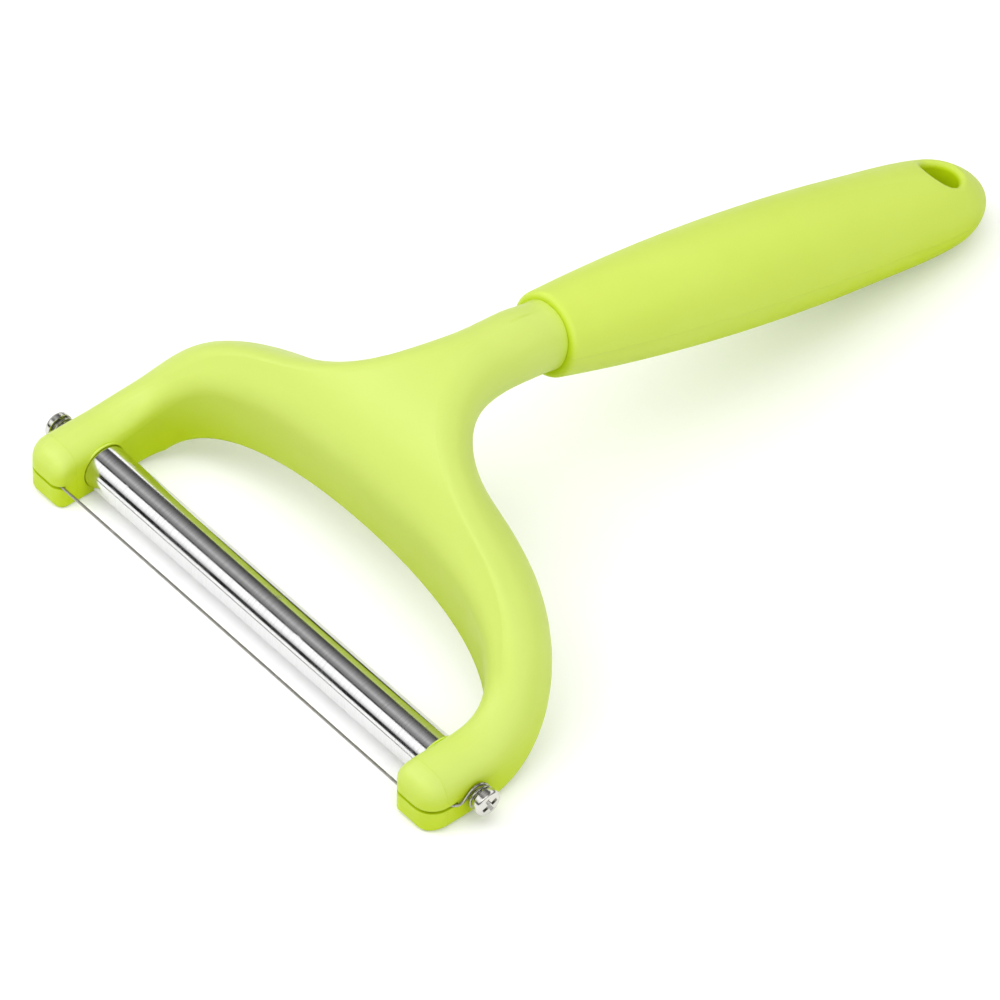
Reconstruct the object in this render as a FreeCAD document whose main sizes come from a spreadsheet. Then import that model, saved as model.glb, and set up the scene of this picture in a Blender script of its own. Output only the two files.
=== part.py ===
import FreeCAD, Part
import math
import os

import Sketcher

from FreeCAD import Placement, Rotation, Vector

# Cheese slicer: a moulded wishbone yoke, a slip-on grip, a steel roller and a taut cutting wire.
# X runs across the tool, Y from the wire to the grip's end, Z up from the table, in millimetres and degrees.

SIZES = {
    # Roller axis above the table and ahead of the origin
    "axis_height": 5.6,
    "axis_to_origin": 85.4,
    # Yoke in side view: level foot, ramp, crest and neck
    "foot_front": 11.2,
    "foot_back": 2.0,
    "foot_radius": 22.0,
    "ramp_angle": 55.0,
    "ramp_length": 18.4,
    "crest_radius": 19.0,
    "crest_angle": -3.0,
    "neck_radius": 71.5,
    "grip_angle": 15.29,
    "nose_height": 12.4,
    "ramp_thickness": 12.4,
    "neck_thickness": 13.8,
    "nose_corner": 5.0,
    "nose_base_corner": 1.7,
    "ramp_corner": 5.8,
    "neck_corner": 6.6,
    # Yoke in plan: shoulders, neck and the window between the noses
    "yoke_half_width": 60.7,
    "shoulder_start": 2.0,
    "shoulder_reach": 44.0,
    "neck_reach": 40.5,
    "neck_end": 56.0,
    "neck_half_width": 6.95,
    "nose_width": 11.1,
    "nose_back": 6.0,
    "window_depth": 21.9,
    "corner_reach": 10.0,
    # Arch under the crossbar, in front view
    "arch_inset": 1.1,
    "arch_rise": 15.4,
    "arch_back": 32.0,
    "window_height": 60.0,
    # Domed fronts of the noses, and the roundings of the window's upper and lower rims
    "front_length": 4.5,
    "front_root_length": 1.0,
    "front_root_inset": 0.4,
    "front_step": 0.04,
    "front_base_rounding": 1.6,
    "front_cheek_rounding": 2.6,
    "rim_rounding": 3.6,
    "crown_rounding": 14.0,
    "under_rounding": 0.9,
    # Tang inside the grip
    "tang_length": 68.0,
    "tang_root_width": 10.4,
    "tang_root_height": 9.2,
    "tang_tip_width": 8.4,
    "tang_tip_height": 7.2,
    "tang_corner": 2.6,
    "tang_overlap": 3.0,
    "tang_end_room": 1.0,
    "seat_clearance": 0.1,
    # Grip: half sizes at the collar, the belly and the tail, and the domed cap
    "grip_length": 118.4,
    "cap_length": 14.0,
    "collar_half_width": 8.8,
    "belly_half_width": 11.9,
    "tail_half_width": 10.2,
    "collar_half_height": 8.4,
    "belly_half_height": 11.6,
    "tail_half_height": 9.0,
    "collar_rounding": 1.1,
    "hole_diameter": 8.4,
    "hole_from_tip": 12.8,
    "hole_rounding": 1.1,
    # Roller: tube and the bushes pressed into its ends
    "roller_diameter": 9.5,
    "tube_wall": 0.6,
    "tube_edge": 0.25,
    "socket_depth": 1.2,
    "socket_clearance": 0.3,
    "end_play": 0.4,
    "bush_length": 9.0,
    "running_clearance": 0.05,
    # Clamp screws: head, shank and the plain tip that carries the roller
    "shank_diameter": 3.5,
    "axle_diameter": 2.6,
    "axle_length": 7.0,
    "head_diameter": 5.8,
    "head_height": 1.8,
    "head_rounding": 1.1,
    "screw_hole_clearance": 0.05,
    # Cutting wire, its slots in the noses and the turns round the screws
    "wire_diameter": 0.6,
    "wire_clearance": 0.1,
    "slot_depth": 1.8,
    "slot_corner": 1.8,
    "slot_end": 4.2,
    "face_clearance": 0.15,
    "turn_pitch": 1.06,
    "turn_room": 0.3,
    # One overrun for every cut, and the closeness that counts as touching
    "overrun": 6.0,
    "touch": 0.05,
    "fine_touch": 0.00001,
}

# Places of the lofted sections, as shares of their stretch
belly_share = 0.54
grip_body_shares = (0.0, 0.14, 0.28, 0.42, 0.56, 0.7, 0.84, 1.0)
grip_cap_shares = (0.3, 0.55, 0.75, 0.9, 0.975)
front_shares = (0.0, 0.02, 0.08, 0.2, 0.4, 0.7, 1.0)
foot_shares = (0.0, 0.25, 0.5, 0.75)
crown_share = 0.86
front_corner_share = 0.85
rise_sections = 14
# Slopes that count as level and as steep, as shares of the upright
level_share = 0.8
steep_share = 0.3
# Quarter turns of wire round each screw
quarter_turns = 6

doc = FreeCAD.newDocument("CheeseSlicer")
sheet = doc.addObject("Spreadsheet::Sheet", "Sizes")
for row, (name, value) in enumerate(SIZES.items(), start=1):
    sheet.set(f"A{row}", name)
    sheet.set(f"B{row}", str(value))
    sheet.setAlias(f"B{row}", name)
doc.recompute()


class Length:
    """A size together with the expression that ties it to the sheet."""

    def __init__(self, value, text):
        self.value = value
        self.text = text

    def joined(self, other, sign, value):
        text = other.text if isinstance(other, Length) else str(other)
        return Length(value, f"({self.text} {sign} {text})")

    def __add__(self, other):
        return self.joined(other, "+", self.value + other.value)

    def __sub__(self, other):
        return self.joined(other, "-", self.value - other.value)

    def __mul__(self, number):
        return self.joined(number, "*", self.value * number)

    def __truediv__(self, number):
        return self.joined(number, "/", self.value / number)

    def __neg__(self):
        return Length(-self.value, f"(-{self.text})")


def length(name):
    return Length(sheet.get(name), f"Sizes.{name}")


def size(name):
    return sheet.get(name)


def bind(item, **properties):
    for name, value in properties.items():
        item.setExpression(name, value.text)


def place(item, x=None, y=None, z=None, rotation=Rotation()):
    """Put an object at a bound position, y from the roller's axis and z from the table."""
    item.Placement = Placement(Vector(), rotation)
    item.setExpression("Placement.Base.x", x.text if x else None)
    from_origin = y - length("axis_to_origin") if y else -length("axis_to_origin")
    item.setExpression("Placement.Base.y", from_origin.text)
    item.setExpression("Placement.Base.z", z.text if z else None)


def at(x, y, z=0.0):
    """A point with y from the roller's axis and z from the table, in the part's own frame."""
    return Vector(x, y - size("axis_to_origin"), z)


def add(kind, name, **values):
    item = doc.addObject(kind, name)
    for key, value in values.items():
        setattr(item, key, value)
    return item


HALF_TURN = Rotation(Vector(0, 0, 1), 180)
SIDES = {"right": 1, "left": -1}


# Side curve of the yoke

def side_stretches():
    """Length and turn of each stretch of the side curve, from the noses' front to the collar."""
    ramp = math.radians(size("ramp_angle"))
    crest = ramp + math.radians(size("crest_angle"))
    bow = math.radians(size("grip_angle") - size("crest_angle"))
    return [
        (size("foot_front") + size("foot_back"), 0.0),
        (size("foot_radius") * ramp, ramp),
        (size("ramp_length"), 0.0),
        (size("crest_radius") * crest, -crest),
        (size("neck_radius") * bow, -bow),
    ]


def side_total():
    return sum(stretch for stretch, _ in side_stretches())


def side_at(distance):
    """Point (y, z) and heading of the mid-surface at a distance along the side curve."""
    y, z, heading = -size("foot_front"), size("nose_height") / 2, 0.0
    left = distance
    for stretch, turn in side_stretches() + [(math.inf, 0.0)]:
        step = min(left, stretch)
        bend = turn * step / stretch if turn else 0.0
        chord = 2 * step / bend * math.sin(bend / 2) if bend else step
        y += chord * math.cos(heading + bend / 2)
        z += chord * math.sin(heading + bend / 2)
        heading += bend
        left -= step
        if left <= 0:
            break
    return y, z, heading


def across(distance):
    """Centre, right and up of the plane that crosses the side curve at a distance."""
    y, z, heading = side_at(distance)
    return at(0, y, z), Vector(1, 0, 0), Vector(0, -math.sin(heading), math.cos(heading))


def bezier_value(values, share):
    a, b, c, d = values
    rest = 1 - share
    return a * rest ** 3 + 3 * b * share * rest ** 2 + 3 * c * share ** 2 * rest + d * share ** 3


def outer_half_width(y):
    """Half the yoke's width in plan: level noses, then one S curve from shoulder to neck."""
    start, end = size("shoulder_start"), size("neck_end")
    wide, slim = size("yoke_half_width"), size("neck_half_width")
    if y <= start:
        return wide
    if y >= end:
        return slim
    lengths = (start, start + size("shoulder_reach"), end - size("neck_reach"), end)
    low, high = 0.0, 1.0
    for _ in range(50):
        middle = (low + high) / 2
        if bezier_value(lengths, middle) < y:
            low = middle
        else:
            high = middle
    return bezier_value((wide, wide, slim, slim), low)


def rounded_section(frame, left, right, low, high, corners):
    """Rounded rectangle in a plane across the side curve, its corners counted from the upper right one."""
    centre, along_x, up = frame
    quarter = math.pi / 2
    places = [(right, high, 1, 1), (left, high, -1, 1), (left, low, -1, -1), (right, low, 1, -1)]

    def on_arc(index, share):
        (x, z, sign_x, sign_z), corner = places[index % 4], corners[index % 4]
        angle = (index + share) * quarter
        x += corner * (math.cos(angle) - sign_x)
        z += corner * (math.sin(angle) - sign_z)
        return centre + along_x * x + up * z

    edges = []
    for index in range(4):
        start, middle, end = (on_arc(index, share) for share in (0, 1 / 2, 1))
        edges.append(Part.Arc(start, middle, end).toShape())
        edges.append(Part.makeLine(end, on_arc(index + 1, 0)))
    return Part.Wire(edges)


def eased(share):
    share = max(0.0, min(1.0, share))
    return share * share * (3 - 2 * share)


def yoke_section(distance):
    stretches = [stretch for stretch, _ in side_stretches()]
    foot_end = stretches[0]
    ramp_middle = sum(stretches[:2]) + stretches[2] / 2
    neck_start = sum(stretches[:4])
    nose = (size("nose_height"), size("nose_base_corner"), size("nose_corner"))
    ramp = (size("ramp_thickness"), size("ramp_corner"), size("ramp_corner"))
    neck = (size("neck_thickness"), size("neck_corner"), size("neck_corner"))
    if distance < ramp_middle:
        first, second, share = nose, ramp, (distance - foot_end) / (ramp_middle - foot_end)
    else:
        first, second, share = ramp, neck, (distance - ramp_middle) / (neck_start - ramp_middle)
    height, low_corner, high_corner = (a + eased(share) * (b - a) for a, b in zip(first, second))
    y, _, _ = side_at(distance)
    half_width = outer_half_width(y)
    corners = (high_corner, high_corner, low_corner, low_corner)
    return rounded_section(across(distance), -half_width, half_width, -height / 2, height / 2, corners)


def front_inset(distance, rounding):
    """How far a quarter-round front draws an edge in at a distance behind the front."""
    left = max(0.0, rounding - distance)
    return rounding - math.sqrt(rounding ** 2 - left ** 2)


def nose_front(sign):
    """Domed front of one nose: the nose's own section, drawn in on every side towards the front."""
    reach, half_height = size("front_length"), size("nose_height") / 2
    sections = []
    stations = [(reach * share, size("front_step")) for share in front_shares]
    for distance, step in stations + [(reach + size("front_root_length"), size("front_root_inset"))]:
        draw = front_inset(distance, reach) + step
        rise = front_inset(distance, size("front_base_rounding")) + step
        cheek = front_inset(distance, size("front_cheek_rounding")) + step
        keep = 1 - front_corner_share * draw / reach
        outer, inner = size("yoke_half_width") - draw, half_gap.value + cheek
        upper = [size("nose_corner") * keep, size("rim_rounding") * keep]
        lower = [size("under_rounding") * keep, size("nose_base_corner") * keep]
        if sign < 0:
            outer, inner = -inner, -outer
            upper.reverse()
            lower.reverse()
        low, high = rise - half_height, half_height - draw
        sections.append(rounded_section(across(distance), inner, outer, low, high, upper + lower))
    return Part.makeLoft(sections, True, False)


def yoke_shield():
    """The yoke behind the noses' fronts and before its window: sections lofted along the side curve."""
    front, foot = size("front_length"), side_stretches()[0][0]
    rise = side_total() - foot
    stations = [front + (foot - front) * share for share in foot_shares]
    stations += [foot + rise * index / rise_sections for index in range(rise_sections + 1)]
    return Part.makeLoft([yoke_section(station) for station in stations], True, False)


def window_outline():
    """Plan outline of the space between the noses: straight cheeks and one bowed crown."""
    gap, back, depth = half_gap.value, size("nose_back"), size("window_depth")
    front = -size("foot_front") - size("overrun")
    edges = []
    for sign in SIDES.values():
        bow = Part.BezierCurve()
        bow.setPoles([
            at(0, depth),
            at(sign * gap * crown_share, depth),
            at(sign * gap, back + size("corner_reach")),
            at(sign * gap, back),
        ])
        edges.append(bow.toShape())
        edges.append(Part.makeLine(at(sign * gap, back), at(sign * gap, front)))
    edges.append(Part.makeLine(at(gap, front), at(-gap, front)))
    return Part.Face(Part.Wire(Part.__sortEdges__(edges)))


def extruded(name, base, direction, reach):
    item = add("Part::Extrusion", name, Base=base, DirMode="Custom", Dir=direction, Solid=True)
    bind(item, LengthFwd=reach)
    return item


half_gap = length("yoke_half_width") - length("nose_width")
shield = add("Part::Feature", "YokeShield", Shape=yoke_shield())

window_face = add("Part::Feature", "WindowOutline", Shape=window_outline())
window = extruded("Window", window_face, Vector(0, 0, 1), length("window_height"))
bind(window, LengthRev=length("overrun"))

arch_curve = add("Part::Ellipse", "ArchCurve")
bind(arch_curve, MajorRadius=half_gap - length("arch_inset"), MinorRadius=length("arch_rise"))
place(arch_curve, y=-length("foot_front") - length("overrun"), rotation=Rotation(Vector(1, 0, 0), 90))
arch_reach = length("foot_front") + length("overrun") + length("arch_back")
arch = extruded("Arch", arch_curve, Vector(0, 1, 0), arch_reach)

spaces = add("Part::MultiFuse", "YokeSpaces", Shapes=[window, arch])
wishbone = add("Part::Cut", "Wishbone", Base=shield, Tool=spaces)
doc.recompute()


def picked_edges(shape, wanted):
    """Number and ends of each edge that a test picks by its middle point, direction and meeting faces."""
    picked = []
    for number, edge in enumerate(shape.Edges, start=1):
        if edge.Degenerated:
            continue
        middle = sum(edge.ParameterRange) / 2
        point = edge.valueAt(middle)
        faces = shape.ancestorsOfType(edge, Part.Face)
        normals = [face.normalAt(*face.Surface.parameter(point)) for face in faces]
        if wanted(point, edge.tangentAt(middle), normals):
            picked.append((number, *(edge.valueAt(end) for end in edge.ParameterRange)))
    return picked


def softened(name, base, wanted, radius_at):
    """Fillet the picked edges of an object, with the radius given at each end of an edge."""
    picked = picked_edges(base.Shape, wanted)
    item = add("Part::Fillet", name, Base=base)
    item.Edges = [(number, radius_at(start), radius_at(end)) for number, start, end in picked]
    doc.recompute()
    return item


def evenly_softened(name, base, wanted, radius):
    """Fillet the picked edges of an object with one radius."""
    edges = [base.Shape.Edges[number - 1] for number, _, _ in picked_edges(base.Shape, wanted)]
    return add("Part::Feature", name, Shape=base.Shape.makeFillet(radius, edges))


window_wire = window_face.Shape.OuterWire


def on_window(point):
    return window_wire.distToShape(Part.Vertex(Vector(point.x, point.y, 0)))[0] < size("touch")


def upper_rim(point, tangent, normals):
    return on_window(point) and abs(tangent.z) < level_share and max(n.z for n in normals) > steep_share


def lower_rim(point, tangent, normals):
    return on_window(point) and abs(tangent.z) < level_share and min(n.z for n in normals) < -steep_share


def cheek_base(point, tangent, normals):
    return lower_rim(point, tangent, normals) and abs(point.x) > crown_share * half_gap.value


def upper_rim_radius(point):
    return size("crown_rounding") if abs(point.x) < size("touch") else size("rim_rounding")


soft_upper = softened("SoftUpperRim", wishbone, upper_rim, upper_rim_radius)
soft_cheeks = evenly_softened("SoftCheeks", soft_upper, cheek_base, size("under_rounding"))
soft = evenly_softened("SoftWishbone", soft_cheeks, lower_rim, size("under_rounding"))
fronts = [add("Part::Feature", f"NoseFront_{side}", Shape=nose_front(sign)) for side, sign in SIDES.items()]


# Tang that the grip slides on, and the seat left for it in the grip

def tang_section(distance, room):
    share = distance / size("tang_length")
    width = size("tang_root_width") + share * (size("tang_tip_width") - size("tang_root_width"))
    height = size("tang_root_height") + share * (size("tang_tip_height") - size("tang_root_height"))
    frame = across(side_total() + distance)
    half_width, half_height, corner = width / 2 + room, height / 2 + room, size("tang_corner") + room
    return rounded_section(frame, -half_width, half_width, -half_height, half_height, [corner] * 4)


def tang_form(reach, room):
    return Part.makeLoft([tang_section(-size("tang_overlap"), room), tang_section(reach, room)], True, True)


tang = add("Part::Feature", "Tang", Shape=tang_form(size("tang_length"), 0))
tang_seat = add("Part::Feature", "TangSeat",
                Shape=tang_form(size("tang_length") + size("tang_end_room"), size("seat_clearance")))


# Places along the roller's axis

outer_face = length("yoke_half_width")
socket_floor = half_gap + length("socket_depth")
roller_half = socket_floor - length("end_play")
wire_radius = length("wire_diameter") / 2
first_turn = outer_face + length("face_clearance") + wire_radius
last_turn = first_turn + length("turn_pitch") * (quarter_turns / 4)
head_underside = last_turn + wire_radius + length("wire_clearance")
head_top = head_underside + length("head_height")
wire_inset = length("slot_depth") - wire_radius - length("wire_clearance")
slot_height = length("wire_diameter") + length("wire_clearance") * 2


# Cuts in the noses: roller sockets, screw holes and wire slots

def slot_outline(sign):
    """Plan of the slot that leads the wire round a nose's outer front corner."""
    front, over = -size("foot_front"), size("overrun")
    inner, outer = half_gap.value - over, outer_face.value
    depth, corner, end = size("slot_depth"), size("slot_corner"), -size("slot_end")
    floor_x, floor_y = outer - depth, front + depth
    lean = corner * (1 - math.sqrt(1 / 2))
    points = [(inner, floor_y), (inner, front - over), (outer + over, front - over), (outer + over, end),
              (floor_x, end), (floor_x, floor_y + corner)]
    places = [at(sign * x, y, size("axis_height") - slot_height.value / 2) for x, y in points]
    edges = [Part.makeLine(first, second) for first, second in zip(places, places[1:])]
    height = places[0].z
    bend = [(floor_x - lean, floor_y + lean), (floor_x - corner, floor_y)]
    bend = [at(sign * x, y, height) for x, y in bend]
    edges.append(Part.Arc(places[-1], *bend).toShape())
    edges.append(Part.makeLine(bend[-1], places[0]))
    return Part.Face(Part.Wire(edges))


screw_hole_radius = length("shank_diameter") / 2 + length("screw_hole_clearance")
nose_cuts = []
for side, sign in SIDES.items():
    outline = add("Part::Feature", f"SlotOutline_{side}", Shape=slot_outline(sign))
    nose_cuts.append(extruded(f"Slot_{side}", outline, Vector(0, 0, 1), slot_height))
    bores = {
        "Socket": (socket_floor, length("roller_diameter") / 2 + length("socket_clearance")),
        "ScrewHole": (outer_face + length("overrun"), screw_hole_radius),
    }
    for name, (end, radius) in bores.items():
        bore = add("Part::Cylinder", f"{name}_{side}")
        bind(bore, Radius=radius, Height=end)
        place(bore, z=length("axis_height"), rotation=Rotation(Vector(0, 1, 0), sign * 90))
        nose_cuts.append(bore)

whole = add("Part::MultiFuse", "WholeYoke", Shapes=[soft, *fronts, tang])
yoke = add("Part::Cut", "yoke", Base=whole, Tool=add("Part::MultiFuse", "NoseCuts", Shapes=nose_cuts))


# Grip: oval sections lofted along the tang's line, closed by a domed cap

def grip_half(kind, share):
    collar, belly, tail = (size(f"{place_name}_half_{kind}") for place_name in ("collar", "belly", "tail"))
    if share < belly_share:
        return belly - (belly - collar) * ((belly_share - share) / belly_share) ** 2
    return belly - (belly - tail) * ((share - belly_share) / (1 - belly_share)) ** 2


def grip_section(distance):
    body = size("grip_length") - size("cap_length")
    cap = max(0.0, (distance - body) / size("cap_length"))
    dome = math.sqrt(1 - cap * cap)
    centre, right, up = across(side_total() + size("seat_clearance") + distance)
    wide = centre + right * (dome * grip_half("width", distance / body))
    high = centre + up * (dome * grip_half("height", distance / body))
    return Part.Wire([Part.Ellipse(wide, high, centre).toShape()])


def grip_form():
    body, cap = size("grip_length") - size("cap_length"), size("cap_length")
    stations = [body * share for share in grip_body_shares]
    stations += [body + cap * share for share in grip_cap_shares]
    tip, _, _ = across(side_total() + size("seat_clearance") + size("grip_length"))
    return Part.makeLoft([grip_section(station) for station in stations] + [Part.Vertex(tip)], True, False)


grip_solid = add("Part::Feature", "GripForm", Shape=grip_form())
hole_centre, _, hole_axis = across(side_total() + size("grip_length") - size("hole_from_tip"))
hang_hole = add("Part::Cylinder", "HangHole")
hole_reach = length("belly_half_height") + length("overrun")
bind(hang_hole, Radius=length("hole_diameter") / 2, Height=hole_reach * 2)
hole_start = hole_centre - hole_axis * hole_reach.value
hang_hole.Placement = Placement(hole_start, Rotation(Vector(0, 0, 1), hole_axis))
grip_cuts = add("Part::MultiFuse", "GripCuts", Shapes=[tang_seat, hang_hole])
bored_grip = add("Part::Cut", "BoredGrip", Base=grip_solid, Tool=grip_cuts)
doc.recompute()


collar_centre, _, _ = across(side_total() + size("seat_clearance"))
grip_way = Vector(0, hole_axis.z, -hole_axis.y)


def collar_edge(point, tangent, normals):
    offset = point - collar_centre
    return abs(offset.dot(grip_way)) < size("touch") and offset.Length > size("neck_half_width")


def hole_rim(point, tangent, normals):
    offset = point - hole_centre
    reach = (offset - hole_axis * offset.dot(hole_axis)).Length
    on_rim = abs(reach - size("hole_diameter") / 2) < size("touch")
    return on_rim and abs(tangent.dot(hole_axis)) < level_share


soft_collar = evenly_softened("SoftCollar", bored_grip, collar_edge, size("collar_rounding"))
grip = evenly_softened("grip", soft_collar, hole_rim, size("hole_rounding"))


# Turned pieces: a half profile revolved about the roller's axis

def turned(name, profile, rotation=Rotation()):
    """Body made by turning a closed half profile, given as pairs of place on the axis and radius."""
    body = add("PartDesign::Body", name)
    plane = next(item for item in body.Origin.OriginFeatures if item.Role == "XY_Plane")
    sketch = body.newObject("Sketcher::SketchObject", f"{name}_profile")
    sketch.AttachmentSupport = [(plane, "")]
    sketch.MapMode = "FlatFace"
    places = [Vector(x.value, radius.value if radius else 0, 0) for x, radius in profile]
    for index, start in enumerate(places):
        sketch.addGeometry(Part.LineSegment(start, places[(index + 1) % len(places)]))
    for index, (x, radius) in enumerate(profile):
        joint = Sketcher.Constraint("Coincident", index - 1 if index else len(profile) - 1, 2, index, 1)
        sketch.addConstraint(joint)
        ends = (-1, 1, index, 1) if x.value > 0 else (index, 1, -1, 1)
        reach = x if x.value > 0 else -x
        number = sketch.addConstraint(Sketcher.Constraint("DistanceX", *ends, reach.value))
        sketch.setExpression(f"Constraints[{number}]", reach.text)
        if radius:
            number = sketch.addConstraint(Sketcher.Constraint("DistanceY", -1, 1, index, 1, radius.value))
            sketch.setExpression(f"Constraints[{number}]", radius.text)
        else:
            sketch.addConstraint(Sketcher.Constraint("PointOnObject", index, 1, -1))
    turn = body.newObject("PartDesign::Revolution", f"{name}_turn")
    turn.Profile = sketch
    turn.ReferenceAxis = (sketch, ["H_Axis"])
    turn.Angle = 360
    place(body, z=length("axis_height"), rotation=rotation)
    doc.recompute()
    return body


def edge_names(shape, wanted):
    return [f"Edge{index}" for index, edge in enumerate(shape.Edges, start=1) if wanted(edge)]


def round_circles(body, kind, name, radius, wanted, amount):
    """Fillet or chamfer the body's circular edges of one radius."""
    base = body.Tip
    feature = body.newObject(kind, name)

    def circle(edge):
        return isinstance(edge.Curve, Part.Circle) and abs(edge.Curve.Radius - radius.value) < size("touch") \
            and wanted(edge.Curve.Center.x)

    feature.Base = (base, edge_names(base.Shape, circle))
    bind(feature, **amount)
    body.Tip = feature
    doc.recompute()


tube_radius = length("roller_diameter") / 2
tube_bore = tube_radius - length("tube_wall")
roller_tube = turned("roller_tube", [(-roller_half, tube_bore), (roller_half, tube_bore),
                                     (roller_half, tube_radius), (-roller_half, tube_radius)])
round_circles(roller_tube, "PartDesign::Chamfer", "tube_ends", tube_radius, lambda x: True,
              {"Size": length("tube_edge")})

bush_inner = roller_half - length("bush_length")
bush_bore = length("axle_diameter") / 2 + length("running_clearance")
axle_tip = roller_half - length("axle_length")
axle_radius = length("axle_diameter") / 2
shank_radius = length("shank_diameter") / 2
head_radius = length("head_diameter") / 2
bushes, screws = [], []
for side, sign in SIDES.items():
    facing = Rotation() if sign > 0 else HALF_TURN
    bush_profile = [
        (bush_inner, bush_bore), (roller_half, bush_bore),
        (roller_half, tube_bore), (bush_inner, tube_bore),
    ]
    bushes.append(turned(f"roller_bush_{side}", bush_profile, facing))
    screw_profile = [
        (axle_tip, None), (head_top, None), (head_top, head_radius), (head_underside, head_radius),
        (head_underside, shank_radius), (socket_floor, shank_radius), (socket_floor, axle_radius),
        (axle_tip, axle_radius),
    ]
    screw = turned(f"clamp_screw_{side}", screw_profile, facing)
    round_circles(screw, "PartDesign::Fillet", f"{screw.Name}_dome", head_radius,
                  lambda x: x > head_underside.value + size("touch"), {"Radius": length("head_rounding")})
    screws.append(screw)


# Cutting wire: one tube from the turns round one screw to the turns round the other

def arc_or_line(start, tangent, end):
    chord = end - start
    along = Vector(chord).normalize()
    side_way = tangent - along * tangent.dot(along)
    if side_way.Length < size("fine_touch"):
        return Part.makeLine(start, end)
    sagitta = chord.Length / 2 * math.tan(tangent.getAngle(chord) / 2)
    return Part.Arc(start, (start + end) / 2 + side_way.normalize() * sagitta, end).toShape()


def biarc(start, tangent, end, end_tangent):
    """Two arcs that leave one point along its tangent and reach the next along its own."""
    gap = end - start
    both = gap.dot(tangent + end_tangent)
    spread = 2 * (1 - tangent.dot(end_tangent))
    if spread < size("fine_touch"):
        reach = gap.dot(gap) / (2 * both)
    else:
        reach = (-both + math.sqrt(both * both + spread * gap.dot(gap))) / spread
    joint = (start + end + (tangent - end_tangent) * reach) / 2
    first = arc_or_line(start, tangent, joint)
    second = arc_or_line(end, -end_tangent, joint)
    return [first, second]


def wire_stops():
    """Points and directions of the right half of the wire, from mid span to the cut end."""
    height, front = size("axis_height"), -size("foot_front") + wire_inset.value
    bend = size("slot_corner") + wire_radius.value + size("wire_clearance")
    sunk, start_x = outer_face.value - wire_inset.value, first_turn.value
    turn_radius = shank_radius.value + wire_radius.value + size("wire_clearance") + size("turn_room")
    lead = size("turn_pitch") / (2 * math.pi)
    across_way, back_way = Vector(1, 0, 0), Vector(0, 1, 0)
    stops = [
        (at(0, front, height), across_way),
        (at(sunk - bend, front, height), across_way),
        (at(sunk, front + bend, height), back_way),
        (at(start_x, (front + bend) / 2, height), back_way),
    ]
    for quarter in range(quarter_turns + 1):
        turned_by = quarter * math.pi / 2
        angle = turned_by - math.pi / 4
        x = start_x + lead * turned_by
        point = at(x, turn_radius * math.sin(angle), height + turn_radius * math.cos(angle))
        direction = Vector(lead, turn_radius * math.cos(angle), -turn_radius * math.sin(angle)).normalize()
        stops.append((point, direction))
    point, direction = stops[-1]
    stops.append((point + direction * size("wire_diameter"), direction))
    return stops


def wire_route():
    right_half = wire_stops()
    left_half = [(Vector(-p.x, p.y, p.z), Vector(d.x, -d.y, -d.z)) for p, d in reversed(right_half[1:])]
    stops = left_half + right_half[1:]
    edges = []
    for (start, tangent), (end, end_tangent) in zip(stops, stops[1:]):
        straight = (end - start).normalize()
        if straight.dot(tangent) > 1 - size("fine_touch"):
            edges.append(Part.makeLine(start, end))
        else:
            edges += biarc(start, tangent, end, end_tangent)
    return Part.Wire(Part.__sortEdges__(edges)), stops[0]


def wire_form():
    route, (start, direction) = wire_route()
    ring = Part.Wire([Part.Circle(start, direction, wire_radius.value).toShape()])
    return route.makePipeShell([ring], True, False)


cutting_wire = add("Part::Feature", "cutting_wire", Shape=wire_form())


def least_gap():
    """Least gap between strands of the wire that lie more than half a turn apart along it."""
    route, _ = wire_route()
    points = route.discretize(Distance=size("wire_diameter") / 2)
    step = route.Length / (len(points) - 1)
    apart = int(math.pi * shank_radius.value / step) + 1
    pairs = [(first, second) for i, first in enumerate(points) for second in points[i + apart:]]
    return min((first - second).Length for first, second in pairs) - size("wire_diameter")


# Check every object and write the pieces

doc.recompute()
pieces = [yoke, grip, roller_tube, *bushes, *screws, cutting_wire]
for item in doc.Objects:
    if "Invalid" in item.State or "Error" in item.State:
        raise RuntimeError(f"{item.Name} did not compute")
for piece in pieces:
    if piece.Shape.isNull() or not piece.Shape.isValid() or len(piece.Shape.Solids) != 1:
        raise RuntimeError(f"{piece.Name} is not one sound solid")
os.makedirs("parts", exist_ok=True)
for piece in pieces:
    piece.Label = piece.Name
    piece.Shape.exportStep(f"parts/{piece.Label}.step")
print("least gap between strands of the wire", round(least_gap(), 2))
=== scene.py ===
import math

import bpy
from mathutils import Matrix, Vector


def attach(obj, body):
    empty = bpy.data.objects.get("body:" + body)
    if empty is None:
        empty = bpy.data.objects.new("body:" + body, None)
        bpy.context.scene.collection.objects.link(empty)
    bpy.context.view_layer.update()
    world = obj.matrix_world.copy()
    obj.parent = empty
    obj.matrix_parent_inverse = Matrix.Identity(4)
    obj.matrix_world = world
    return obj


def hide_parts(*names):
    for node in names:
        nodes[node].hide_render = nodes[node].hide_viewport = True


# Looks of the cheese slicer: satin lime plastic, a polished roller, cross-recess screws and a drawn wire.
# Lengths are metres in the part's own frame and angles are degrees.

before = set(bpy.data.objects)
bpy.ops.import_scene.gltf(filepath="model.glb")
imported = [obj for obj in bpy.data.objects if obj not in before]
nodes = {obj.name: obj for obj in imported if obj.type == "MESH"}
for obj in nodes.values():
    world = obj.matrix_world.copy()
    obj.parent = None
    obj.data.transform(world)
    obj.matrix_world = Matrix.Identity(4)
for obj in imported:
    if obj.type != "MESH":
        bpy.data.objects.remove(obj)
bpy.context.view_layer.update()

MM = 0.001
IMAGE = 1000
SENSOR = 36.0
SIDES = {"right": 1, "left": -1}

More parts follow.
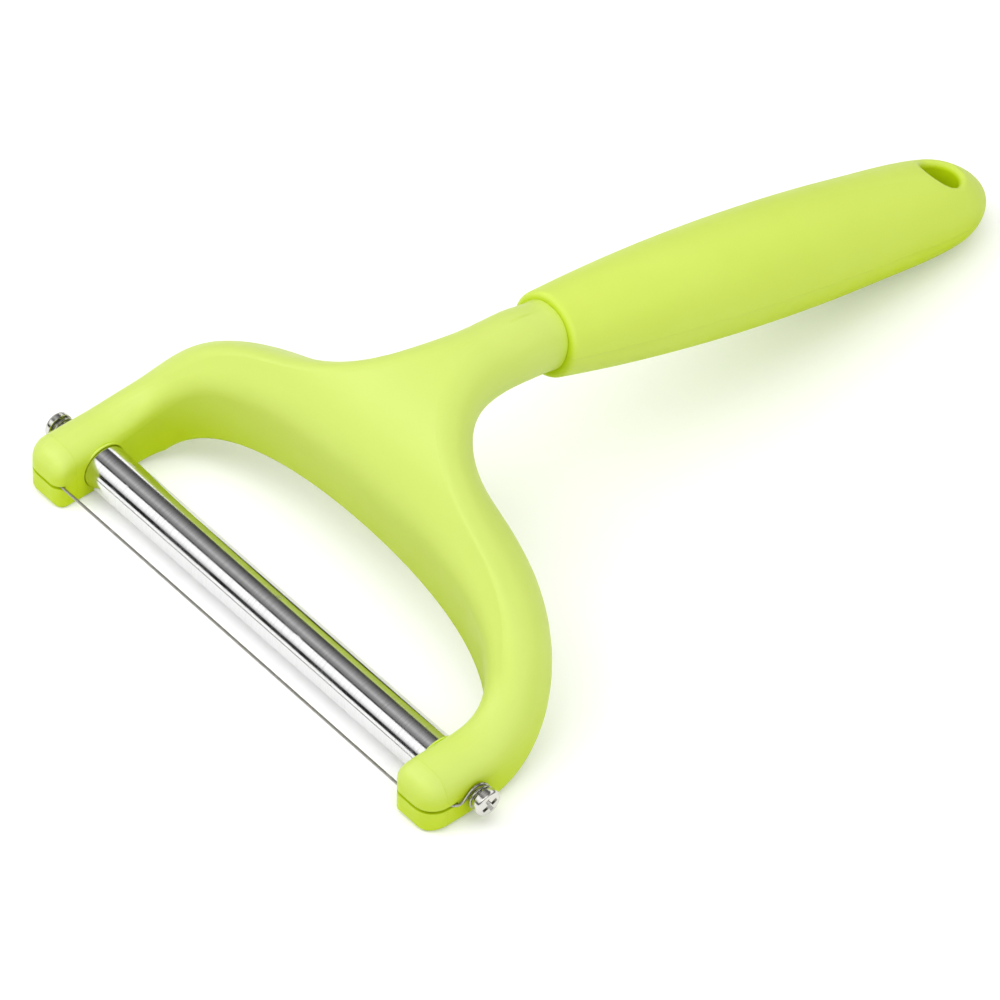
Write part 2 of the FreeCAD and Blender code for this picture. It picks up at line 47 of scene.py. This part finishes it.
# Places that the solids give: the roller's axis, the yoke's outer faces and the grip's parting plane
AXIS_Y, AXIS_Z = -0.0854, 0.0056
OUTER_FACE = 0.0607
GRIP_UP = (0.0, 0.2637, 0.9646)
GRIP_MIDDLE = (0.0, 0.084204, 0.00845)

scene = bpy.context.scene
scene.view_settings.view_transform = "Standard"


# Node helpers

def new_material(name):
    material = bpy.data.materials.new(name)
    material.use_nodes = True
    tree = material.node_tree
    return material, tree, tree.nodes["Principled BSDF"]


def add_node(tree, kind, inputs=None, **settings):
    node = tree.nodes.new(kind)
    for key, value in settings.items():
        setattr(node, key, value)
    for key, value in (inputs or {}).items():
        if isinstance(value, bpy.types.NodeSocket):
            tree.links.new(value, node.inputs[key])
        else:
            node.inputs[key].default_value = value
    return node


def maths(tree, operation, *values):
    return add_node(tree, "ShaderNodeMath", dict(enumerate(values)), operation=operation).outputs[0]


def place_of(tree, stretch=(1, 1, 1)):
    """The surface point in the part's frame, stretched along each axis."""
    coordinates = add_node(tree, "ShaderNodeTexCoord").outputs["Object"]
    return add_node(tree, "ShaderNodeMapping", {"Vector": coordinates, "Scale": stretch}).outputs["Vector"]


def noise(tree, scale, detail=2.0, stretch=(1, 1, 1), roughness=0.5):
    return add_node(tree, "ShaderNodeTexNoise", {
        "Vector": place_of(tree, stretch), "Scale": scale, "Detail": detail, "Roughness": roughness,
    }).outputs["Fac"]


def ranged(tree, value, source, target):
    """A value carried from one range to another."""
    limits = {"From Min": source[0], "From Max": source[1], "To Min": target[0], "To Max": target[1]}
    return add_node(tree, "ShaderNodeMapRange", {"Value": value, **limits}).outputs["Result"]


def blended(tree, share, first, second):
    mix = add_node(tree, "ShaderNodeMix", data_type="RGBA")
    for key, value in ((0, share), (6, first), (7, second)):
        if isinstance(value, bpy.types.NodeSocket):
            tree.links.new(value, mix.inputs[key])
        else:
            mix.inputs[key].default_value = value
    return mix.outputs[2]


def bump(tree, shader, layers):
    """Stack height layers, each a value with a strength and a depth, into the shader's normal."""
    normal = None
    for height, strength, depth in layers:
        inputs = {"Height": height, "Strength": strength, "Distance": depth}
        if normal:
            inputs["Normal"] = normal
        normal = add_node(tree, "ShaderNodeBump", inputs).outputs["Normal"]
    tree.links.new(normal, shader.inputs["Normal"])


def dress(name, material):
    mesh = nodes[name].data
    mesh.materials.clear()
    mesh.materials.append(material)


# Materials: noise scales are in features per metre, and a relief is a scale with a strength and a depth

FULL = (0.0, 1.0)
MID_NOISE = (0.3, 0.7)
DRIFT_SCALE, SATIN_SCALE, RUB_SCALE, RUB_STRETCH = 38, 260, 420, (1, 0.06, 1)
RUB_NOISE, RUB_GLOSS = (0.62, 0.72), (0.0, -0.06)
# Reach, samples and shares of open sky that set where the plastics get painted shade
PAINTED_SHADE_REACH, PAINTED_SHADE_SAMPLES, PAINTED_SHADE_SHARES = 0.04, 8, (0.45, 0.92)
SINK_RELIEF, GRAIN_RELIEF = (90, 0.05, 0.0006), (2600, 0.16, 0.00004)
SEAM_STRENGTH, SEAM_DEPTH, SEAM_WIDTHS = 0.5, 0.00012, (0.00005, 0.00022)
RING_STRETCH, RING_NOISE, RING_STRENGTH, RING_DEPTH = (1, 0.03, 0.03), (0.3, 0.75), 0.06, 0.00002
CLOUD_SCALE, CLOUD_NOISE = 160, (0.1, 0.45)
NICK_SCALE, NICK_STRETCH, NICK_NOISE, NICK_GLOSS = 700, (0.25, 1, 1), (0.72, 0.78), 0.25
NICK_STRENGTH, NICK_DEPTH = 0.4, 0.00003


def moulded_plastic(name, light, drifted, painted_shade, roughness, shine, seam=False):
    """Satin moulded plastic: fine grain, slow colour drift, fine rubs, and painted shade: a deeper colour and
    a lower specular level where less of the sky is open.
    """
    material, tree, shader = new_material(name)
    drift = ranged(tree, noise(tree, DRIFT_SCALE, 3.0), MID_NOISE, FULL)
    body = blended(tree, drift, light, drifted)
    # Painted shade: in hollows, under parts and beside the floor, where less of the sky is open, the base
    # colour blends toward the painted-shade colour and the specular level drops
    sky = add_node(tree, "ShaderNodeAmbientOcclusion", {"Distance": PAINTED_SHADE_REACH}, samples=PAINTED_SHADE_SAMPLES)
    unshaded_share = ranged(tree, sky.outputs["AO"], PAINTED_SHADE_SHARES, FULL)
    tree.links.new(blended(tree, unshaded_share, painted_shade, body), shader.inputs["Base Color"])
    tree.links.new(ranged(tree, unshaded_share, FULL, shine), shader.inputs["Specular IOR Level"])
    rubs = ranged(tree, noise(tree, RUB_SCALE, 2.0, RUB_STRETCH), RUB_NOISE, RUB_GLOSS)
    satin = ranged(tree, noise(tree, SATIN_SCALE, 2.0), MID_NOISE, roughness)
    tree.links.new(maths(tree, "ADD", satin, rubs), shader.inputs["Roughness"])
    layers = []
    for detail, (scale, strength, depth) in ((1.0, SINK_RELIEF), (2.0, GRAIN_RELIEF)):
        layers.append((noise(tree, scale, detail), strength, depth))
    if seam:
        layers.append((parting_line(tree), SEAM_STRENGTH, SEAM_DEPTH))
    bump(tree, shader, layers)
    return material


def parting_line(tree):
    """One along the fine ridge where the two halves of the grip's mould met, zero elsewhere."""
    height = add_node(tree, "ShaderNodeVectorMath", {0: place_of(tree), 1: GRIP_UP}, operation="DOT_PRODUCT")
    plane_height = Vector(GRIP_UP).dot(Vector(GRIP_MIDDLE))
    offset = maths(tree, "ABSOLUTE", maths(tree, "SUBTRACT", height.outputs["Value"], plane_height))
    return ranged(tree, offset, SEAM_WIDTHS, FULL[::-1])


def turned_steel(name, colour, roughness, ring_scale, scratch):
    """Bright steel with turning marks round the X axis, cloudy gloss and short bright nicks."""
    material, tree, shader = new_material(name)
    shader.inputs["Metallic"].default_value = 1.0
    rings = noise(tree, ring_scale, 4.0, RING_STRETCH, 0.65)
    cloud = noise(tree, CLOUD_SCALE, 3.0)
    nicks = ranged(tree, noise(tree, NICK_SCALE, 1.0, NICK_STRETCH), NICK_NOISE, FULL)
    darker = [channel * scratch for channel in colour[:3]] + [1.0]
    tone = ranged(tree, rings, RING_NOISE, FULL)
    tree.links.new(blended(tree, tone, colour, darker), shader.inputs["Base Color"])
    gloss = ranged(tree, maths(tree, "MULTIPLY", rings, cloud), CLOUD_NOISE, roughness)
    tree.links.new(maths(tree, "MULTIPLY_ADD", nicks, NICK_GLOSS, gloss), shader.inputs["Roughness"])
    bump(tree, shader, [(rings, RING_STRENGTH, RING_DEPTH), (nicks, NICK_STRENGTH, NICK_DEPTH)])
    return material


# Plastic colours where the sky is open; each plastic also gets a deeper copy as painted shade, blended in
# where less of the sky is open
LIME = (0.555, 0.69, 0.12, 1.0)
LIME_DRIFTED = (0.54, 0.675, 0.11, 1.0)
# Painted shade colour for the lime yoke and grip
LIME_PAINTED_SHADE = (0.52, 0.67, 0.004, 1.0)
GRIP_LIME = (0.57, 0.71, 0.09, 1.0)
GRIP_DRIFTED = (0.55, 0.69, 0.075, 1.0)
NYLON = (0.85, 0.85, 0.82, 1.0)
NYLON_DRIFTED = (0.81, 0.81, 0.78, 1.0)
# Painted shade colour for the nylon bushes
NYLON_PAINTED_SHADE = (0.75, 0.75, 0.71, 1.0)
ROLLER_STEEL = (0.80, 0.80, 0.80, 1.0)
SCREW_STEEL = (0.68, 0.67, 0.63, 1.0)
WIRE_STEEL = (0.44, 0.43, 0.39, 1.0)

yoke_plastic = moulded_plastic(
    "lime_plastic_yoke", LIME, LIME_DRIFTED, LIME_PAINTED_SHADE, roughness=(0.40, 0.50), shine=(0.1, 0.5))
grip_plastic = moulded_plastic(
    "lime_plastic_grip", GRIP_LIME, GRIP_DRIFTED, LIME_PAINTED_SHADE, roughness=(0.43, 0.53), shine=(0.05, 0.3),
    seam=True)
bush_plastic = moulded_plastic(
    "bush_nylon", NYLON, NYLON_DRIFTED, NYLON_PAINTED_SHADE, roughness=(0.4, 0.5), shine=(0.1, 0.5))
roller_steel = turned_steel(
    "polished_steel_roller", ROLLER_STEEL, roughness=(0.08, 0.20), ring_scale=4800, scratch=0.8)
screw_steel = turned_steel(
    "screw_steel_bright", SCREW_STEEL, roughness=(0.14, 0.26), ring_scale=2200, scratch=0.9)
wire_steel = turned_steel(
    "wire_steel_drawn", WIRE_STEEL, roughness=(0.16, 0.3), ring_scale=1500, scratch=0.85)

dress("yoke", yoke_plastic)
dress("grip", grip_plastic)
dress("roller_tube", roller_steel)
dress("cutting_wire", wire_steel)
for side in SIDES:
    dress(f"roller_bush_{side}", bush_plastic)
    dress(f"clamp_screw_{side}", screw_steel)


# Clamp screws: a turned pan head, shank and axle tip, with a tapered cross recess

HEAD_RADIUS, SHANK_RADIUS, AXLE_RADIUS = 0.0029, 0.00175, 0.0013
HEAD_UNDER, HEAD_TOP = 0.06314, 0.06494
SHANK_START, AXLE_TIP = 0.0508, 0.0434
HEAD_WALL, HEAD_EDGE, DOME, TIP_CHAMFER = 0.00085, 0.0001, 0.00012, 0.0003
HEAD_STEPS, TURN_STEPS = 8, 64
RECESS_SPAN, RECESS_WIDTH, RECESS_DEPTH, RECESS_TURN = 0.0037, 0.00095, 0.0014, 22.0
RECESS_FLOOR_SHARE, RECESS_WING_SHARE = 0.4, 0.8
RECESS_OVERRUN = 0.0003
BEVEL, SHARP = 0.00005, 30.0


def mesh_piece(name, vertices, faces, material):
    mesh = bpy.data.meshes.new(name)
    mesh.from_pydata([Vector(vertex) for vertex in vertices], [], faces)
    mesh.materials.append(material)
    item = bpy.data.objects.new(name, mesh)
    scene.collection.objects.link(item)
    return item


def bridged(name, rings, material, looped=False):
    """A solid through rings of points, joined end to end where looped and capped flat where not."""
    count, total = len(rings[0]), len(rings[0]) * len(rings)
    faces = [] if looped else [tuple(reversed(range(count))), tuple(range(total - count, total))]
    for start in range(0, total if looped else total - count, count):
        for index in range(count):
            here, following = start + index, start + (index + 1) % count
            faces.append((here, following, (following + count) % total, (here + count) % total))
    return mesh_piece(name, [point for ring in rings for point in ring], faces, material)


def turned(name, profile, material, looped=False):
    """A piece turned about the roller's axis, from pairs of place on the axis and radius."""
    turns = [2 * math.pi * step / TURN_STEPS for step in range(TURN_STEPS)]
    rings = []
    for x, radius in profile:
        around = [(radius * math.cos(turn), radius * math.sin(turn)) for turn in turns]
        rings.append([(x, AXIS_Y + y, AXIS_Z + z) for y, z in around])
    return bridged(name, rings, material, looped)


def screw_profile():
    """Pairs of place on the axis and radius, from the axle's tip to the head's crown."""
    profile = [
        (AXLE_TIP, AXLE_RADIUS - TIP_CHAMFER), (AXLE_TIP + TIP_CHAMFER, AXLE_RADIUS),
        (SHANK_START, AXLE_RADIUS), (SHANK_START, SHANK_RADIUS), (HEAD_UNDER, SHANK_RADIUS),
        (HEAD_UNDER, HEAD_RADIUS - HEAD_EDGE), (HEAD_UNDER + HEAD_EDGE, HEAD_RADIUS),
    ]
    shoulder, rise = HEAD_UNDER + HEAD_WALL, HEAD_TOP - DOME - HEAD_UNDER - HEAD_WALL
    for step in range(HEAD_STEPS):
        turn = math.pi / 2 * step / HEAD_STEPS
        profile.append((shoulder + rise * math.sin(turn), HEAD_RADIUS - rise * (1 - math.cos(turn))))
    flat = HEAD_RADIUS - rise
    for step in range(HEAD_STEPS):
        share = step / HEAD_STEPS
        profile.append((HEAD_TOP - DOME * (1 - share) ** 2, flat * (1 - share)))
    return profile


def cross_outline(x, span, width):
    """Twelve corners of a cross in the head's plane."""
    half, wing = width / 2, span / 2
    corners = [(wing, -half), (wing, half), (half, half)]
    points = []
    for quarter in range(4):
        turn = math.radians(RECESS_TURN + 90 * quarter)
        for y, z in corners:
            points.append((x, AXIS_Y + y * math.cos(turn) - z * math.sin(turn),
                           AXIS_Z + y * math.sin(turn) + z * math.cos(turn)))
    return points


def carved(item, cutter):
    cut = item.modifiers.new("recess", "BOOLEAN")
    cut.operation, cut.solver, cut.object = "DIFFERENCE", "EXACT", cutter
    graph = bpy.context.evaluated_depsgraph_get()
    mesh = bpy.data.meshes.new_from_object(item.evaluated_get(graph))
    item.modifiers.clear()
    item.data = mesh
    bpy.data.objects.remove(cutter)


def clamp_screw(side, sign):
    screw = turned(f"screw_{side}", screw_profile(), screw_steel)
    deepest = HEAD_TOP - RECESS_DEPTH
    slope = (1 - RECESS_FLOOR_SHARE) / RECESS_DEPTH
    outlines = []
    for x in (deepest, HEAD_TOP + RECESS_OVERRUN):
        share = RECESS_FLOOR_SHARE + slope * (x - deepest)
        wing_share = RECESS_WING_SHARE + (1 - RECESS_WING_SHARE) * (x - deepest) / RECESS_DEPTH
        outlines.append(cross_outline(x, RECESS_SPAN * share, RECESS_WIDTH * wing_share))
    carved(screw, bridged("recess_cutter", outlines, screw_steel))
    edges = screw.modifiers.new("edges", "BEVEL")
    edges.width, edges.segments, edges.limit_method = BEVEL, 2, "ANGLE"
    edges.angle_limit = math.radians(SHARP)
    screw.data.shade_smooth()
    screw.data.set_sharp_from_angle(angle=math.radians(SHARP))
    if sign < 0:
        screw.matrix_world = Matrix.Translation((0, 2 * AXIS_Y, 0)) @ Matrix.Rotation(math.pi, 4, "Z")
    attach(screw, "frame")
    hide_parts(f"clamp_screw_{side}")


for side, sign in SIDES.items():
    clamp_screw(side, sign)


# Socket lips: the moulded bead round each end of the roller

LIP_PLACE, LIP_RADIUS, LIP_ROUNDING, LIP_STEPS = 0.04986, 0.00505, 0.00028, 12


def socket_lip(side, sign):
    profile = []
    for step in range(LIP_STEPS):
        turn = 2 * math.pi * step / LIP_STEPS
        place = LIP_PLACE + LIP_ROUNDING * math.cos(turn)
        profile.append((sign * place, LIP_RADIUS + LIP_ROUNDING * math.sin(turn)))
    lip = turned(f"socket_lip_{side}", profile if sign < 0 else profile[::-1], yoke_plastic, looped=True)
    lip.data.shade_smooth()
    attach(lip, "frame")


for side, sign in SIDES.items():
    socket_lip(side, sign)


# Cutting wire: one drawn wire through the slots, led up over each screw and wound round its shank

WIRE_RADIUS, WIRE_SIDES, WIRE_STEPS = 0.0003, 5, 6
WIRE_INSET, SLOT_BEND = 0.0014, 0.0022
WIRE_REACH, EXIT_REACH = 0.0098, 0.0049
SPAN_Y, EXIT_Y = AXIS_Y - WIRE_REACH, AXIS_Y - EXIT_REACH
COIL_START, COIL_PITCH, COIL_RADIUS = 0.06115, 0.00106, 0.00245
COIL_TURNS, COIL_STEPS, COIL_LEAD_IN = 1.5, 16, 45.0
WIRE_END = 0.0006


def wire_half(sign):
    """Control points from the span's middle to the cut end on one side."""
    sunk = OUTER_FACE - WIRE_INSET
    level = [
        (sunk - 3 * SLOT_BEND, SPAN_Y), (sunk - 2 * SLOT_BEND, SPAN_Y), (sunk, SPAN_Y),
        (sunk, SPAN_Y + 1.5 * SLOT_BEND), (COIL_START, EXIT_Y),
        (COIL_START, AXIS_Y - COIL_RADIUS * math.sqrt(2)),
    ]
    points = [(x, y, AXIS_Z) for x, y in level]
    step = 2 * math.pi / COIL_STEPS
    first = math.radians(-COIL_LEAD_IN) + step / 2
    outline = COIL_RADIUS / math.cos(step / 2)
    for index in range(int(COIL_TURNS * COIL_STEPS)):
        turn = first + index * step
        x = COIL_START + COIL_PITCH * (index + 0.5) / COIL_STEPS
        points.append((x, AXIS_Y + outline * math.sin(turn), AXIS_Z + outline * math.cos(turn)))
    turn = first + (COIL_TURNS * COIL_STEPS - 0.5) * step
    reach = outline * math.sin(step / 2) + WIRE_END
    last = Vector((COIL_START + COIL_PITCH * COIL_TURNS, AXIS_Y + COIL_RADIUS * math.sin(turn),
                   AXIS_Z + COIL_RADIUS * math.cos(turn)))
    points.append(last + Vector((0, math.cos(turn), -math.sin(turn))) * reach)
    return [(sign * x, y, z) for x, y, z in points]


def wire_piece():
    curve = bpy.data.curves.new("wire_wound", "CURVE")
    curve.dimensions = "3D"
    curve.bevel_depth, curve.bevel_resolution = WIRE_RADIUS, WIRE_SIDES
    curve.use_fill_caps = True
    spline = curve.splines.new("NURBS")
    places = wire_half(-1)[::-1] + wire_half(1)
    spline.points.add(len(places) - 1)
    for point, place in zip(spline.points, places):
        point.co = (*place, 1)
    spline.order_u = 3
    spline.use_endpoint_u = True
    spline.resolution_u = WIRE_STEPS
    curve.materials.append(wire_steel)
    item = bpy.data.objects.new("wire_wound", curve)
    scene.collection.objects.link(item)
    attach(item, "frame")
    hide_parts("cutting_wire")


wire_piece()


# Studio: pale floor, even soft light, and cards that only reflections see. Stops are shares with levels

WHITE = (1, 1, 1, 1)
FLOOR_COLOUR, FLOOR_LIFT, FLOOR_REACH = (0.86, 0.86, 0.86, 1.0), 0.16, 4.0
SQUARE = ((-1, -1), (1, -1), (1, 1), (-1, 1))
CEILING_HEIGHT, CEILING_REACH = 0.8, 1.6
CEILING_FRONT, CEILING_BACK = AXIS_Y - 0.50, AXIS_Y + 0.90
CEILING_STOPS = (
    (0.0, 0.03), (0.085, 0.04), (0.105, 0.20), (0.215, 0.32), (0.29, 0.48), (0.335, 0.60),
    (0.395, 0.50), (0.465, 0.36), (0.595, 0.20), (0.715, 0.11), (0.80, 0.06), (1.0, 0.07),
)
WALL_CARDS, WALL_RADIUS, WALL_HEIGHT, WALL_GLOW = 24, 2.0, 2.2, 1.4
WALL_STOPS = ((0.0, 0.01), (0.205, 0.01), (0.245, 0.5), (0.37, 0.85), (0.5, 1.0), (1.0, 1.0))
SKY_LEVELS = (0.62, 1.0)
LIT_POINT = (0, 0, 0.02)


def shown_rays(tree):
    """One for camera, glossy and transmission rays, zero for the rays that light the part."""
    path = add_node(tree, "ShaderNodeLightPath").outputs
    seen = maths(tree, "ADD", path["Is Camera Ray"], path["Is Glossy Ray"])
    return maths(tree, "MINIMUM", maths(tree, "ADD", seen, path["Is Transmission Ray"]), 1.0)


def plane(name, corners, material):
    item = mesh_piece(name, corners, [tuple(range(len(corners)))], material)
    return item


def floor_material():
    material, tree, shader = new_material("pale_floor")
    tree.nodes.remove(shader)
    matt = add_node(tree, "ShaderNodeBsdfDiffuse", {"Color": FLOOR_COLOUR})
    lift = ranged(tree, shown_rays(tree), FULL, (0.0, FLOOR_LIFT))
    glow = add_node(tree, "ShaderNodeEmission", {"Color": WHITE, "Strength": lift})
    whole = add_node(tree, "ShaderNodeAddShader", {0: matt.outputs[0], 1: glow.outputs[0]})
    tree.links.new(whole.outputs[0], tree.nodes["Material Output"].inputs["Surface"])
    return material


def graded_material(name, axis, span, stops, strength=1.0):
    """A glow whose level follows stops along a span of one axis."""
    material, tree, shader = new_material(name)
    tree.nodes.remove(shader)
    along = add_node(tree, "ShaderNodeSeparateXYZ", {0: place_of(tree)}).outputs[axis]
    grade = add_node(tree, "ShaderNodeValToRGB", {"Fac": ranged(tree, along, span, FULL)})
    elements = grade.color_ramp.elements
    elements.remove(elements[-1])
    for index, (share, level) in enumerate(stops):
        stop = elements.new(share) if index else elements[0]
        stop.position = share
        stop.color = (level, level, level, 1)
    glow = add_node(tree, "ShaderNodeEmission", {"Color": grade.outputs["Color"], "Strength": strength})
    tree.links.new(glow.outputs[0], tree.nodes["Material Output"].inputs["Surface"])
    return material


def reflection_card(name, corners, material):
    card = plane(name, corners, material)
    card.visible_camera = False
    card.visible_diffuse = False
    card.visible_shadow = False
    card.visible_transmission = False


plane("floor", [(x * FLOOR_REACH, y * FLOOR_REACH, 0) for x, y in SQUARE], floor_material())

ceiling_ends = ((-CEILING_REACH, CEILING_FRONT), (CEILING_REACH, CEILING_FRONT),
                (CEILING_REACH, CEILING_BACK), (-CEILING_REACH, CEILING_BACK))
reflection_card("ceiling", [(x, y, CEILING_HEIGHT) for x, y in ceiling_ends],
                graded_material("ceiling", "Y", (CEILING_FRONT, CEILING_BACK), CEILING_STOPS))

wall_glow = graded_material("wall", "Z", (0.0, WALL_HEIGHT), WALL_STOPS, WALL_GLOW)
for index in range(WALL_CARDS):
    turns = [2 * math.pi * (index + step) / WALL_CARDS for step in (0, 1)]
    (x0, y0), (x1, y1) = [(WALL_RADIUS * math.cos(turn), WALL_RADIUS * math.sin(turn)) for turn in turns]
    corners = [(x0, y0, 0), (x1, y1, 0), (x1, y1, WALL_HEIGHT), (x0, y0, WALL_HEIGHT)]
    reflection_card(f"wall_{index}", corners, wall_glow)

world = bpy.data.worlds.new("studio")
world.use_nodes = True
scene.world = world
sky = world.node_tree
backdrop = sky.nodes["Background"].inputs
sky.links.new(ranged(sky, shown_rays(sky), FULL, SKY_LEVELS), backdrop["Strength"])
backdrop["Color"].default_value = WHITE


def softbox(name, place, width, power):
    """A square lamp that faces the part."""
    light = bpy.data.lights.new(name, "AREA")
    light.size = width
    light.energy = power
    item = bpy.data.objects.new(name, light)
    scene.collection.objects.link(item)
    item.location = place
    item.rotation_mode = "QUATERNION"
    item.rotation_quaternion = (Vector(LIT_POINT) - Vector(place)).to_track_quat("-Z", "Y")
    return item


key = softbox("key", (-0.35, -0.45, 0.6), width=0.5, power=2.35)
key.visible_glossy = False
softbox("top", (0.1, -0.1, 1.1), width=1.0, power=5.0)
softbox("fill", (1.0, -0.2, 0.8), width=1.0, power=3.5)


# Camera at the photograph's viewing angle, placed by the pixel where one point above the roller's axis lands.
# The focal length is in pixels, and per_mm is the number of pixels to a millimetre at that point

def photo_camera(azimuth, elevation, roll, focal, per_mm, anchor, pixel):
    side, rise, tilt = (math.radians(angle) for angle in (azimuth, elevation, roll))
    back = Vector((math.sin(side) * math.cos(rise), -math.cos(side) * math.cos(rise), math.sin(rise)))
    level = Vector((math.cos(side), math.sin(side), 0))
    high = back.cross(level)
    right = level * math.cos(tilt) + high * math.sin(tilt)
    up = high * math.cos(tilt) - level * math.sin(tilt)
    per_metre = per_mm / MM
    across, down = ((value - IMAGE / 2) / per_metre for value in pixel)
    place = Vector(anchor) - right * across + up * down + back * (focal / per_metre)
    camera = bpy.data.cameras.new("photo_camera")
    camera.sensor_width = SENSOR
    camera.lens = focal * SENSOR / IMAGE
    camera.clip_end = 100
    item = bpy.data.objects.new("photo_camera", camera)
    scene.collection.objects.link(item)
    item.matrix_world = Matrix.Translation(place) @ Matrix((right, up, back)).transposed().to_4x4()
    scene.camera = item


photo_camera(azimuth=48.597, elevation=45.708, roll=1.348, focal=9214, per_mm=5.278,
             anchor=(0, AXIS_Y, 0.0063), pixel=(268.19, 607.67))
